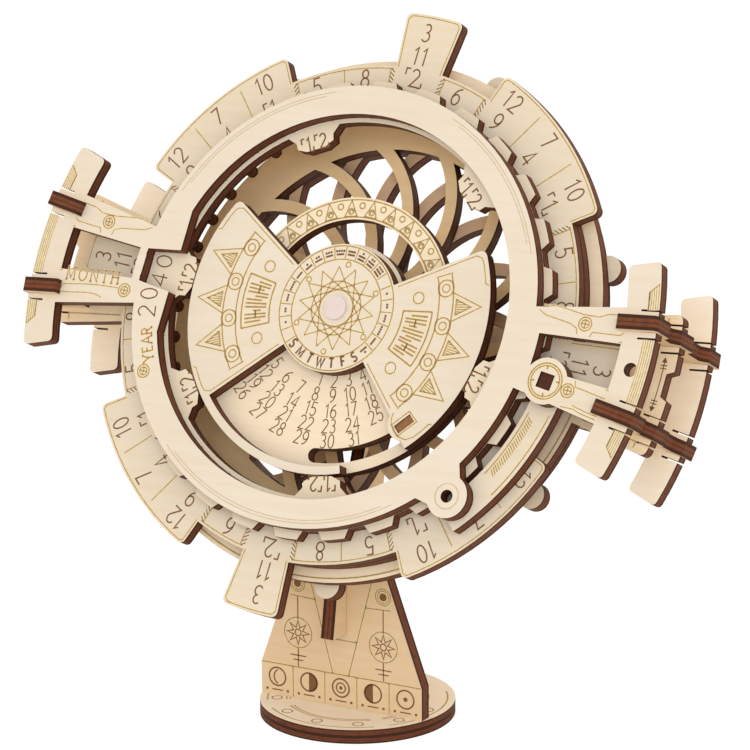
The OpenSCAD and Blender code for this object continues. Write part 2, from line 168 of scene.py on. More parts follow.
def sheet_matrix(right, up, origin):
    """Maps millimetres on a sheet, and out of it, to the row frame. The origin is in metres."""
    right, up = Vector(right), Vector(up)
    return axes_matrix(right, up, right.cross(up), origin, MM)


def head_matrix(lift, turn=0.0):
    """Maps millimetres on a dial to the row frame, lift over the hub's plane, turned on by turn radians."""
    right, up, out, hub = head_axes()
    a = turn + bpy.context.scene.calendar_head.turn
    return sheet_matrix(right * cos(a) - up * sin(a), right * sin(a) + up * cos(a), hub + out * lift * MM)


def polar(r, a):
    return (r * sin(radians(a)), r * cos(radians(a)))


# ---- finishes


# tints of the one veneer, sheet by sheet, which paint light and shade into it: BRIGHT, FAIR and LIGHT are
# painted light; CREAM, WARM, HONEY, AMBER and BROWN are painted shade and warm bounced light; DOWEL is the
# dowel's own tone
BRIGHT = (1.25, 1.25, 1.25)
PALE = (1.0, 1.0, 1.0)
FAIR = (1.25, 1.17, 1.04)
DOWEL = (0.96, 0.95, 1.12)
CREAM = (1.0, 0.98, 0.93)
HONEY = (1.0, 0.84, 0.64)
AMBER = (1.25, 1.01, 0.68)
BROWN = (1.02, 0.76, 0.56)
WARM = (1.05, 1.02, 0.95)
LIGHT = (1.14, 1.09, 1.00)

GRAIN_WIDTH, GRAIN_DEPTH = 1.6, 6.0     # of a streak, across the sheet and into it
FACE_COSINE = 0.6                       # surfaces nearer to the sheet's normal than this are veneer

# plies on a burnt edge, by their place across the thickness
PLIES = (
    (0.0, "char"), (0.20, "char"), (0.27, "core"), (0.44, "core"),
    (0.50, "char"), (0.56, "core"), (0.73, "core"), (0.80, "char"),
)


def new_material(name):
    """A material and its empty tree, or None for the tree if the material is there already."""
    material = bpy.data.materials.get(name)
    if material:
        return material, None
    material = bpy.data.materials.new(name)
    material.use_nodes = True
    material.node_tree.nodes.clear()
    return material, material.node_tree


def add(tree, kind, inputs=None, **settings):
    """A new shader node with these settings, and a value or a link on each of these inputs."""
    node = tree.nodes.new("ShaderNode" + kind)
    for key, value in settings.items():
        setattr(node, key, value)
    for key, value in (inputs or {}).items():
        if isinstance(value, bpy.types.NodeSocket):
            tree.links.new(value, node.inputs[key])
        else:
            node.inputs[key].default_value = value
    return node


def mix_colour(tree, factor, a, b):
    return add(tree, "Mix", {0: factor, 6: a, 7: b}, data_type="RGBA").outputs[2]


def noise(tree, vector, scale, detail=2.0, roughness=0.5, distortion=0.0):
    inputs = {"Vector": vector, "Scale": scale, "Detail": detail, "Roughness": roughness,
              "Distortion": distortion}
    return add(tree, "TexNoise", inputs).outputs["Fac"]


def remap(tree, value, low, high, to_low, to_high):
    """Takes value from one range to another, and stays inside it."""
    inputs = {"Value": value, "From Min": low, "From Max": high, "To Min": to_low, "To Max": to_high}
    return add(tree, "MapRange", inputs).outputs["Result"]


def tinted(colour, tint=PALE):
    return tuple(c * t for c, t in zip(colour, tint)) + (1,)


def surface(tree, colour, roughness, gloss, **links):
    """Ends a material in a Principled shader."""
    inputs = {"Base Color": colour, "Roughness": roughness, "Specular IOR Level": gloss, **links}
    shader = add(tree, "BsdfPrincipled", inputs)
    add(tree, "OutputMaterial", {"Surface": shader.outputs[0]})


def plywood(name, normal, low, high, tint, seed):
    """Plywood sheet: veneer on faces square to normal, burnt plies on its edges.

    low and high are the sheet's two faces, in metres along normal.
    """
    settings = bpy.context.scene.calendar_plywood
    material, tree = new_material(name)
    if tree is None:
        return material
    along = normal.cross(Vector((0.0, 0.0, 1.0)))
    along = along.normalized() if along.length > 0.1 else Vector((1.0, 0.0, 0.0))
    across = normal.cross(along)
    place = add(tree, "TexCoord")

    def measure(axis, scale, offset=0.0):
        """Distance along an axis, times scale."""
        inputs = {0: place.outputs["Object"], 1: tuple(axis * scale)}
        dot = add(tree, "VectorMath", inputs, operation="DOT_PRODUCT")
        return add(tree, "Math", {0: dot.outputs["Value"], 1: offset}, operation="ADD").outputs[0]

    # grain runs along the sheet
    stretch = add(tree, "CombineXYZ", {
        0: measure(along, 1 / (settings.grain_length * MM), seed),
        1: measure(across, 1 / (GRAIN_WIDTH * MM), seed * 3.1),
        2: measure(normal, 1 / (GRAIN_DEPTH * MM)),
    })
    streak = noise(tree, stretch.outputs[0], 1.0, 3.0, 0.55, 0.35)
    cloud = noise(tree, place.outputs["Object"], 28.0)
    # tint paints light and shade into the veneer and its grain, sheet by sheet
    grain = tinted(settings.grain, tint)
    veneer = mix_colour(tree, remap(tree, streak, 0.42, 0.86, 0, 0.42), tinted(settings.face, tint), grain)
    veneer = mix_colour(tree, remap(tree, cloud, 0.35, 0.75, 0, 0.22), veneer, grain)

    # burnt plies across the thickness, with soot on them
    depth = measure(normal, 1 / (high - low), -low / (high - low))
    plies = add(tree, "ValToRGB", {"Fac": depth})
    elements = plies.color_ramp.elements
    for index, (position, ply) in enumerate(PLIES):
        element = elements[index] if index < 2 else elements.new(position)
        element.position, element.color = position, tinted(getattr(settings, ply))
    soot = remap(tree, noise(tree, place.outputs["Object"], 900.0), 0.45, 0.8, 0, 0.6)
    burnt = mix_colour(tree, soot, plies.outputs["Color"], tinted(settings.char))

    # which of the two: by the sheet's own direction
    inputs = {0: place.outputs["Normal"], 1: tuple(normal)}
    facing = add(tree, "VectorMath", inputs, operation="DOT_PRODUCT")
    size = add(tree, "Math", {0: facing.outputs["Value"]}, operation="ABSOLUTE")
    flat = add(tree, "Math", {0: size.outputs[0], 1: FACE_COSINE}, operation="GREATER_THAN")
    colour = mix_colour(tree, flat.outputs[0], burnt, veneer)

    rough = remap(tree, streak, 0, 1, settings.roughness - 0.06, settings.roughness + 0.12)
    bump = add(tree, "Bump", {"Height": streak, "Strength": 0.18, "Distance": 0.0002})
    surface(tree, colour, rough, 0.3, Normal=bump.outputs["Normal"])
    return material


def burn_mark(name, colour, roughness=0.8):
    """Laser-burnt wood, a little uneven."""
    material, tree = new_material(name)
    if tree is None:
        return material
    place = add(tree, "TexCoord").outputs["Object"]
    dark = tinted(colour, (0.72, 0.72, 0.72))
    light = tuple(min(1, c * 1.35) for c in colour) + (1,)
    surface(tree, mix_colour(tree, noise(tree, place, 1400.0), dark, light), roughness, 0.15)
    return material


def dowel_wood(name):
    """Turned dowel: pale end grain, finely speckled."""
    settings = bpy.context.scene.calendar_plywood
    material, tree = new_material(name)
    if tree is None:
        return material
    place = add(tree, "TexCoord").outputs["Object"]
    face = tinted(settings.face, DOWEL)
    colour = mix_colour(tree, noise(tree, place, 1600.0, 3.0), face, tinted(settings.grain, DOWEL))
    surface(tree, mix_colour(tree, noise(tree, place, 260.0), face, colour), 0.66, 0.3)
    return material


def coat(obj, material):
    obj.data.materials.clear()
    obj.data.materials.append(material)


def finish_sheet(obj, normal, tint=PALE, seed=0.0, stack=1):
    """Gives a sheet, or a stack of like sheets, its plywood, measured along its own normal, tinted with
    painted light and shade.
    """
    normal = Vector(normal).normalized()
    depths = [v.co.dot(normal) for v in obj.data.vertices]
    low = min(depths)
    coat(obj, plywood("ply_" + obj.name, normal, low, low + (max(depths) - low) / stack, tint, seed))


# ---- meshes


MITRE = 0.45        # least cosine at a bend, so that a sharp one doesn't grow a spike


def mesh_object(name, mesh, matrix=Matrix()):
    """Makes an object in the scene of a bmesh that matrix places."""
    data = bpy.data.meshes.new(name)
    mesh.to_mesh(data)
    mesh.free()
    data.transform(matrix)
    obj = bpy.data.objects.new(name, data)
    bpy.context.scene.collection.objects.link(obj)
    return obj


def strip(mesh, points, width, low, high, closed):
    """A closed thin prism along a line, mitred at its bends."""
    count = len(points)
    sides = []
    for i, (x, y) in enumerate(points):
        directions = []
        for a, b in ((i - 1, i), (i, i + 1)):
            if closed or (a >= 0 and b < count):
                dx = points[b % count][0] - points[a][0]
                dy = points[b % count][1] - points[a][1]
                directions.append((dx / hypot(dx, dy), dy / hypot(dx, dy)))
        tx, ty = (sum(parts) for parts in zip(*directions))
        tx, ty = tx / hypot(tx, ty), ty / hypot(tx, ty)
        along = max(MITRE, abs(tx * directions[0][0] + ty * directions[0][1]))
        nx, ny = -ty * width / 2 / along, tx * width / 2 / along
        corners = ((1, low), (-1, low), (-1, high), (1, high))
        sides.append([mesh.verts.new((x + s * nx, y + s * ny, z)) for s, z in corners])
    for i in range(count if closed else count - 1):
        a, b = sides[i], sides[(i + 1) % count]
        for j in range(4):
            k = (j + 1) % 4
            mesh.faces.new((a[k], a[j], b[j], b[k]))
    if not closed:
        mesh.faces.new(sides[0])
        mesh.faces.new(sides[-1][::-1])


def slab(mesh, points, low, high):
    """A closed thin prism over a filled outline, drawn either way round."""
    pairs = list(zip(points, points[1:] + points[:1]))
    if sum(ax * by - bx * ay for (ax, ay), (bx, by) in pairs) < 0:
        points = points[::-1]
    bottom = [mesh.verts.new((x, y, low)) for x, y in points]
    top = [mesh.verts.new((x, y, high)) for x, y in points]
    mesh.faces.new(top)
    mesh.faces.new(bottom[::-1])
    count = len(points)
    for i in range(count):
        j = (i + 1) % count
        mesh.faces.new((bottom[i], bottom[j], top[j], top[i]))


# ---- figures


def arc(cx, cy, rx, ry, a0, a1, steps=8):
    """Points of an arc. Angles are anticlockwise from +X."""
    return [(cx + rx * cos(radians(a0 + (a1 - a0) * i / steps)),
             cy + ry * sin(radians(a0 + (a1 - a0) * i / steps))) for i in range(steps + 1)]


def figure_strokes():
    """Single-line figures and letters, one unit tall: name to (width, strokes).

    The brackets are corner marks that stand round a figure, at its upper left and its lower right.
    """
    six = [arc(0.31, 0.3, 0.25, 0.3, 0, 360, 14), [(0.48, 1)] + arc(0.6, 0.36, 0.54, 0.62, 108, 180, 5)]
    bowl = arc(0.34, 0.75, 0.22, 0.25, 80, -90, 7)
    return {
        "0": (0.62, [arc(0.31, 0.5, 0.26, 0.5, 90, 450, 16)]),
        "1": (0.4, [[(0.06, 0.8), (0.26, 1), (0.26, 0)]]),
        "2": (0.62, [arc(0.3, 0.73, 0.25, 0.27, 160, -35, 8) + [(0.05, 0), (0.57, 0)]]),
        "3": (0.6, [arc(0.27, 0.76, 0.22, 0.24, 140, -85, 8) + arc(0.27, 0.27, 0.26, 0.27, 80, -145, 8)]),
        "4": (0.64, [[(0.44, 0), (0.44, 1), (0.04, 0.28), (0.6, 0.28)]]),
        "5": (0.6, [[(0.52, 1), (0.13, 1), (0.09, 0.56)] + arc(0.28, 0.31, 0.26, 0.31, 118, -145, 9)]),
        "6": (0.62, six),
        "7": (0.6, [[(0.05, 1), (0.54, 1), (0.2, 0)]]),
        "8": (0.62, [arc(0.31, 0.76, 0.2, 0.24, 270, 630, 12), arc(0.31, 0.26, 0.26, 0.26, 90, 450, 14)]),
        "9": (0.62, [[(0.62 - x, 1 - y) for x, y in line] for line in six]),
        "S": (0.6, [arc(0.29, 0.75, 0.22, 0.25, 40, 250, 8) + arc(0.29, 0.26, 0.24, 0.26, 75, -150, 8)]),
        "M": (0.86, [[(0.08, 0), (0.12, 1), (0.43, 0.15), (0.74, 1), (0.78, 0)]]),
        "T": (0.66, [[(0.04, 1), (0.62, 1)], [(0.33, 1), (0.33, 0)]]),
        "W": (0.96, [[(0.04, 1), (0.25, 0), (0.48, 0.9), (0.71, 0), (0.92, 1)]]),
        "F": (0.56, [[(0.1, 0), (0.1, 1), (0.54, 1)], [(0.1, 0.53), (0.46, 0.53)]]),
        "O": (0.86, [arc(0.43, 0.5, 0.37, 0.5, 90, 450, 18)]),
        "N": (0.78, [[(0.1, 0), (0.1, 1), (0.68, 0), (0.68, 1)]]),
        "H": (0.78, [[(0.1, 0), (0.1, 1)], [(0.68, 0), (0.68, 1)], [(0.1, 0.52), (0.68, 0.52)]]),
        "Y": (0.7, [[(0.04, 1), (0.35, 0.48), (0.66, 1)], [(0.35, 0.48), (0.35, 0)]]),
        "E": (0.6, [[(0.54, 1), (0.1, 1), (0.1, 0), (0.54, 0)], [(0.1, 0.53), (0.46, 0.53)]]),
        "A": (0.74, [[(0.03, 0), (0.37, 1), (0.71, 0)], [(0.15, 0.34), (0.59, 0.34)]]),
        "R": (0.66, [[(0.1, 0), (0.1, 1), (0.32, 1)] + bowl + [(0.1, 0.5)], [(0.34, 0.5), (0.62, 0)]]),
        "[": (0.3, [[(0.06, 0.62), (0.06, 1), (0.34, 1)]]),
        "]": (0.1, [[(-0.24, -0.02), (0.04, -0.02), (0.04, 0.28)]]),
    }


FIGURES = figure_strokes()
SERIFS = {
    "M": [(0.08, 0), (0.12, 1), (0.74, 1), (0.78, 0)],
    "N": [(0.1, 0), (0.1, 1), (0.68, 1)],
    "T": [(0.33, 0)],
    "H": [(0.1, 0), (0.1, 1), (0.68, 0), (0.68, 1)],
    "Y": [(0.35, 0), (0.04, 1), (0.66, 1)],
    "A": [(0.03, 0), (0.71, 0)],
    "R": [(0.1, 0), (0.62, 0)],
}
SERIF_HALF = 0.11       # half a serif, in heights of its letter


# ---- engraving


TONES = ("burn", "tan", "faint", "scorch")
SUNK = -0.01            # how far below the sheet's face a line starts

# widths of lines, beside the two in the settings
SHADE, PENCIL, HAIR, THIN, LINE, FIRM = 0.12, 0.14, 0.16, 0.18, 0.22, 0.24
FULL, LETTER, STRONG, HEAVY, BROAD = 0.26, 0.28, 0.30, 0.34, 0.42


class Engraving:
    """Collects burnt lines on one sheet and builds them as thin raised strips."""

    def __init__(self, name, body, matrix):
        self.name, self.body, self.matrix = name, body, matrix
        self.marks = bpy.context.scene.calendar_engraving
        self.lines = {tone: [] for tone in TONES}
        self.areas = []

    def line(self, points, tone="tan", width=None, closed=False):
        self.lines[tone].append((points, width or self.marks.fine, closed))

    def area(self, points):
        """A filled outline, in the burn tone."""
        self.areas.append(points)

    def circle(self, cx, cy, r, tone="tan", width=None, steps=None):
        steps = steps or max(10, min(96, int(r * 10)))
        self.line(arc(cx, cy, r, r, 0, 360, steps)[:-1], tone, width, True)

    def dot(self, cx, cy, r, steps=12):
        self.area(arc(cx, cy, r, r, 0, 360, steps)[:-1])

    def clock_line(self, points, mid=0, side=1, **options):
        """A line through (radius, angle) points, with their angles taken from mid, to one side."""
        self.line([polar(r, mid + side * a) for r, a in points], **options)

    def ring_arc(self, r, a0, a1, tone="tan", width=None):
        steps = max(2, int(abs(a1 - a0) * r / 90))
        self.line([polar(r, a0 + (a1 - a0) * i / steps) for i in range(steps + 1)], tone, width)

    def spoke(self, a, r0, r1, tone="tan", width=None):
        self.clock_line(((r0, 0), (r1, 0)), a, tone=tone, width=width)

    def text(self, words, place, height, tone="burn", width=None, gap=0.22, squeeze=1.0, serif=False):
        """Writes words centred on the origin of place(x, y), which maps them to the sheet."""
        total = sum(FIGURES[c][0] for c in words) * squeeze + gap * (len(words) - 1)
        x = -total / 2
        for c in words:
            wide, strokes = FIGURES[c]
            for stroke in strokes:
                points = [place((x + u * squeeze) * height, (v - 0.5) * height) for u, v in stroke]
                self.line(points, tone, width or self.marks.bold)
            for u, v in SERIFS.get(c, ()) if serif else ():
                ends = [x + u * squeeze + s * SERIF_HALF for s in (-1, 1)]
                self.line([place(end * height, (v - 0.5) * height) for end in ends], tone, width)
            x += wide * squeeze + gap

    def text_at(self, words, r, a, height, up=1, **options):
        """Figures centred at radius r and angle a, their tops outwards, or inwards where up is -1."""
        s, c = sin(radians(a)) * up, cos(radians(a)) * up
        self.text(words, lambda x, y: ((r * up + y) * s + x * c, (r * up + y) * c - x * s), height, **options)

    def build(self):
        """Makes one piece of each tone that has lines, and lets it ride on the sheet's body."""
        marks = self.marks
        self.lines["scorch"] = [(points, width + 2 * marks.scorch_width, closed)
                                for points, width, closed in self.lines["tan"]]
        for tone in TONES:
            areas = self.areas if tone == "burn" else ()
            if not self.lines[tone] and not areas:
                continue
            high = marks.raise_mm / 2 if tone == "scorch" else marks.raise_mm
            mesh = bmesh.new()
            for points, width, closed in self.lines[tone]:
                strip(mesh, points, width, SUNK, high, closed)
            for points in areas:
                slab(mesh, points, SUNK, high)
            obj = mesh_object(self.name + "_" + tone, mesh, self.matrix)
            coat(obj, burn_mark("engraving_" + tone, getattr(marks, tone)))
            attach(obj, self.body)


# ---- sheets and small pieces


# each sheet's tint is painted light or painted shade, by how deep and how shaded it sits in the head
HEAD_SHEETS = {
    "front_frame": PALE, "guard_arc": CREAM, "middle_frame": FAIR, "slide_ring": AMBER, "back_ring": WARM,
    "rear_frame": BRIGHT, "lattice_front": AMBER, "lattice_rear": BROWN, "hub_spacer_middle": AMBER,
    "axle_collar": CREAM, "date_plate": LIGHT, "year_dial": WARM, "month_dial": CREAM,
    "month_collar": AMBER,
}
# BRIGHT on the foot's top is painted light where the head shades it; HONEY on the stand plate and fin is
# painted shade
STAND_SHEETS = (
    ("base_disc_lower", (0, 0, 1), PALE, 31), ("base_disc_upper", (0, 0, 1), BRIGHT, 37),
    ("stand_front_plate", (0, 1, 0), HONEY, 41), ("stand_fin", (1, 0, 0), HONEY, 43),
)
RIBS = (("left_upper", -1, 1), ("left_lower", -1, -1), ("right_upper", 1, 1), ("right_lower", 1, -1))
RIB_ANGLE = 7.6         # from the head's level line to a rib
PEGS = {
    "stop_peg": ("toasted_peg", (0.27, 0.13, 0.06)),
    "badge_peg": ("charred_peg", (0.075, 0.026, 0.016)),
}
RIM_GAP = (32.65, 36.0, 135.7, 160.5)       # inner and outer radius, first and last angle


class FinishSheets(bpy.types.Operator):
    """Veneer and burnt edges on every plywood sheet, tinted with painted light and shade"""

    bl_idname = "calendar.finish_sheets"
    bl_label = "Finish the plywood sheets"

    def execute(self, context):
        nodes = frame["nodes"]
        right, up, out, _ = head_axes()
        for i, (node, tint) in enumerate(HEAD_SHEETS.items()):
            finish_sheet(nodes[node], out, tint, seed=1.7 * i)
        for node, normal, tint, seed in STAND_SHEETS:
            finish_sheet(nodes[node], normal, tint, seed)
        for i, (name, side, upper) in enumerate(RIBS):
            a = side * radians(90 - upper * RIB_ANGLE) + context.scene.calendar_head.turn
            # HONEY, the stand plate's painted-shade tint, is also on the ribs
            finish_sheet(nodes["cross_rib_" + name], right * cos(a) - up * sin(a), HONEY, seed=50 + i)
        return {"FINISHED"}


class OpenMaskRim(bpy.types.Operator):
    """Mask whose arm under the lower window ends at a leap-year tab"""

    bl_idname = "calendar.open_mask_rim"
    bl_label = "Open the mask's rim"

    def execute(self, context):
        inner, outer, first, last = RIM_GAP
        steps = 12
        angles = [first + (last - first) * i / steps for i in range(steps + 1)]
        block = bmesh.new()
        outline = [polar(inner, a) for a in angles] + [polar(outer, a) for a in angles[::-1]]
        slab(block, outline, -1, SHEET + 1)
        gap = mesh_object("rim_gap", block, head_matrix(0))
        plate = bpy.data.objects.new("mask_plate", frame["nodes"]["sun_mask"].data.copy())
        context.scene.collection.objects.link(plate)
        cut = plate.modifiers.new("gap", "BOOLEAN")
        cut.operation, cut.solver, cut.object = "DIFFERENCE", "EXACT", gap
        seen = plate.evaluated_get(context.evaluated_depsgraph_get())
        plate.data = bpy.data.meshes.new_from_object(seen)
        plate.modifiers.clear()
        bpy.data.objects.remove(gap)
        # the copied normals don't fit the new faces
        normals = plate.data.attributes.get("custom_normal")
        if normals:
            plate.data.attributes.remove(normals)
        for face in plate.data.polygons:
            face.use_smooth = False
        finish_sheet(plate, head_axes()[2], PALE, seed=17.0)
        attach(plate, "stand")
        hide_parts("sun_mask")
        return {"FINISHED"}


class FinishSmallPieces(bpy.types.Operator):
    """Dowel axle, spacers and the square pegs"""

    bl_idname = "calendar.finish_small_pieces"
    bl_label = "Finish the axle and pegs"

    def execute(self, context):
        nodes = frame["nodes"]
        coat(nodes["axle"], dowel_wood("turned_dowel"))
        finish_sheet(nodes["hub_spacers_rear"], head_axes()[2], seed=61, stack=2)
        for node, (name, colour) in PEGS.items():
            coat(nodes[node], burn_mark(name, colour, 0.7))
        return {"FINISHED"}


# ---- month dial


# one quarter of the dial, column by column: what is written, and how far out
MONTH_COLUMNS = (
    (("3", 59.9), ("11", 54.8), ("[2]", 50.2)),
    (("6", 49.4),),
    (("12", 54.7), ("9", 49.5)),
    (("7", 54.7), ("4", 49.5)),
    (("10", 54.7), ("[1]", 48.7)),
    (("5", 49.4),),
    (("8", 49.4),),
)
MONTH_SHIFT = 0.85                      # figures stand this far before the middle of their column
MONTH_INNER, MONTH_OUTER = 46.5, 51.6   # ends of the dividers between the tabs
# one side of a tab's border as (radius, angle), then the radius, reach and steps of the line over its top
NARROW_TAB = (((52.0, 5.5), (62.4, 5.55), (63.1, 4.9)), 63.15, 4, 4)
WIDE_TAB = (((52.0, 18.2), (57.0, 18.2), (57.6, 17.6)), 57.6, 15, 10)
NARROW_FOOT, WIDE_FOOT = 6.1, 18.8      # from a tab's middle to the hatching at its foot


def tab_border(work, mid, corner, top, reach, steps):
    """Line up one side of a tab, over its top and down the other side."""
    before = [(r, -a) for r, a in corner]
    over = [(top, -reach + 2 * reach * i / steps) for i in range(steps + 1)]
    work.clock_line([*before, *over, *corner[::-1]], mid, width=THIN)


class EngraveMonthDial(bpy.types.Operator):
    """Month numbers, borders and hatching on the month dial"""

    bl_idname = "calendar.engrave_month_dial"
    bl_label = "Engrave the month dial"

    def execute(self, context):
        height = context.scene.calendar_engraving.month_height
        head = context.scene.calendar_head
        work = Engraving("month_engraving", "month_dial", head_matrix(-head.face_play, head.month_turn))
        for quarter in range(4):
            base = 90 * quarter
            mid = base + 3 * PITCH
            for step, column in enumerate(MONTH_COLUMNS):
                for words, r in column:
                    a = base + step * PITCH - MONTH_SHIFT
                    work.text_at(words, r, a, height, squeeze=0.92, gap=0.16)
            tab_border(work, base, *NARROW_TAB)
            tab_border(work, mid, *WIDE_TAB)
            # dividers on a wide tab, the border between tabs and a divider across it
            for s in (-0.5, 0.5):
                work.spoke(mid + s * PITCH, MONTH_INNER, 56.3, width=THIN)
            for a0, a1 in ((base + 6.6, mid - 19.3), (mid + 19.3, base + 90 - 6.6)):
                work.ring_arc(MONTH_OUTER, a0, a1, width=THIN)
            work.spoke(base + 5.5 * PITCH, MONTH_INNER, MONTH_OUTER, width=THIN)
            # hatching at the tabs' feet
            for middle, foot in ((base, NARROW_FOOT), (mid, WIDE_FOOT)):
                for s in (-1, 1):
                    a = middle + s * foot
                    for i in range(6):
                        r = 46.6 + 0.85 * i
                        work.clock_line(((r, 0), (r + 0.75, 1)), a, s, tone="burn")
                    work.spoke(a + s * 1.15, MONTH_INNER, 51.5)
        work.build()
        return {"FINISHED"}


# ---- year dial


FIRST_YEAR, LAST_YEAR = 20, 42
YEAR_START = 231.43                     # angle of the first year, from which they run back
YEAR_RADIUS = 42.9
LEAP_TABS, LEAP_SECTORS = 6, 5          # leap-year tabs, and sectors from one to the next
LEAP_MARKS = (("[1]", -2.9), ("[2]", 2.3))


class EngraveYearDial(bpy.types.Operator):
    """Year numbers and leap-year marks on the year dial"""

    bl_idname = "calendar.engrave_year_dial"
    bl_label = "Engrave the year dial"

    def execute(self, context):
        height = context.scene.calendar_engraving.year_height
        lift = SHEET - context.scene.calendar_head.face_play
        work = Engraving("year_engraving", "year_dial", head_matrix(lift))
        for count in range(LAST_YEAR - FIRST_YEAR + 1):
            a = YEAR_START - (count + count // 4) * PITCH       # a leap year takes two sectors
            work.text_at(str(FIRST_YEAR + count), YEAR_RADIUS, a, height, width=STRONG, squeeze=1.2, gap=0.28)
        for leap in range(LEAP_TABS):
            for words, shift in LEAP_MARKS:
                a = 270 + leap * LEAP_SECTORS * PITCH + shift
                work.text_at(words, 36.2, a, 3.1, width=HEAVY, gap=0.12, squeeze=0.85)
        for i in range(SECTORS):
            work.spoke((i + 0.5) * PITCH, 39.8, 45.6)
        work.build()
        return {"FINISHED"}


# ---- date plate


DATE_ROWS = (14.4, 17.55, 20.7, 23.8, 26.9, 30.1)
DATE_MIDDLE = 182.4                     # angle of the column that starts with 1 in the first row
BAND = (19.9, 23.55)                    # band over the hub
TRIANGLES = 15


class EngraveDatePlate(bpy.types.Operator):
    """Thirteen columns of dates and the band of triangles over the hub"""

    bl_idname = "calendar.engrave_date_plate"
    bl_label = "Engrave the date plate"

    def execute(self, context):
        height = context.scene.calendar_engraving.date_height
        work = Engraving("date_engraving", "date_plate", head_matrix(-context.scene.calendar_head.face_play))
        for column in range(1 - WEEK, WEEK):
            rows = DATE_ROWS if column >= 0 else DATE_ROWS[1:]
            for r, day in zip(rows, range(1 + column % WEEK, 32, WEEK)):
                a = DATE_MIDDLE - column * PITCH
                work.text_at(str(day), r, a, height, up=-1, width=FIRM, squeeze=0.86, gap=0.1)
        for r in BAND:
            work.ring_arc(r, 264, 456, width=LINE)
        for i in range(TRIANGLES):
            a = 270 + i * PITCH
            work.clock_line(((20.1, -3.9), (23.4, 0), (20.1, 3.9)), a, width=LINE, closed=True)
            x, y = polar(21.1, a)
            work.circle(x, y, 0.62, width=LINE, steps=12)
            work.line(arc(x, y, 0.32, 0.32, 0, 257.83, 9), tone="burn", width=THIN)
            if i < TRIANGLES - 1:
                work.circle(*polar(22.3, a + PITCH / 2), 0.62, width=LINE, steps=12)
        work.build()
        return {"FINISHED"}


# ---- sun mask


WEEKDAYS = "SMTWTFS"
DAY_PITCH = 13.1                        # between the weekdays' letters
STAR_POINTS, STAR_SKIP = 14, 5          # each point is joined to the fifth after it
BURST_MIDDLE, BURST_HALF = 96.75, 38.25     # middle and half width of a sunburst's sector
# edge line of a sunburst, (radius, angle from the sector's edge), and where the peg's tab cuts it short
BURST_EDGE = ((14.3, 2.6), (32.2, 1.2), (33.2, 2.6), *((33.4, 4 + 2 * i) for i in range(5)), (34.1, 12.8))
BURST_EDGE_CUT = ((14.3, 2.6), (25.4, 1.6))
BURST_BAND = (23.2, 26.3)
BURST_PANEL = (15.4, 21.9)
PEG_ANGLE, PEG_HALF, PEG_INNER, PEG_OUTER = 131.4, 4.6, 28.55, 31.35
# line round the stop peg's tab, (radius, angle)
TAB_LINE = (
    (26.6, 132.9), (27.3, 134.8), (28.5, 136.2), (30.1, 136.5), (31.6, 135.7), (32.9, 134.0),
    (33.5, 131.1), (33.6, 127.2), (33.6, 124.0), (34.0, 123.3),
)


def day_numeral(work, number, r, a):
    """Bars of five with dots over them, the old way of writing a number."""
    bars, dots = divmod(number, 5)
    step = 0.68
    low = r - step * (bars - 1 + (1 if dots else 0)) / 2
    for i in range(bars):
        r = low + step * i
        work.clock_line(((r, -4.3), (r, 4.3)), a, tone="burn", width=BROAD)
    for i in range(dots):
        work.dot(*polar(low + step * bars, a + (i - (dots - 1) / 2) * 2.7), 0.27, steps=8)


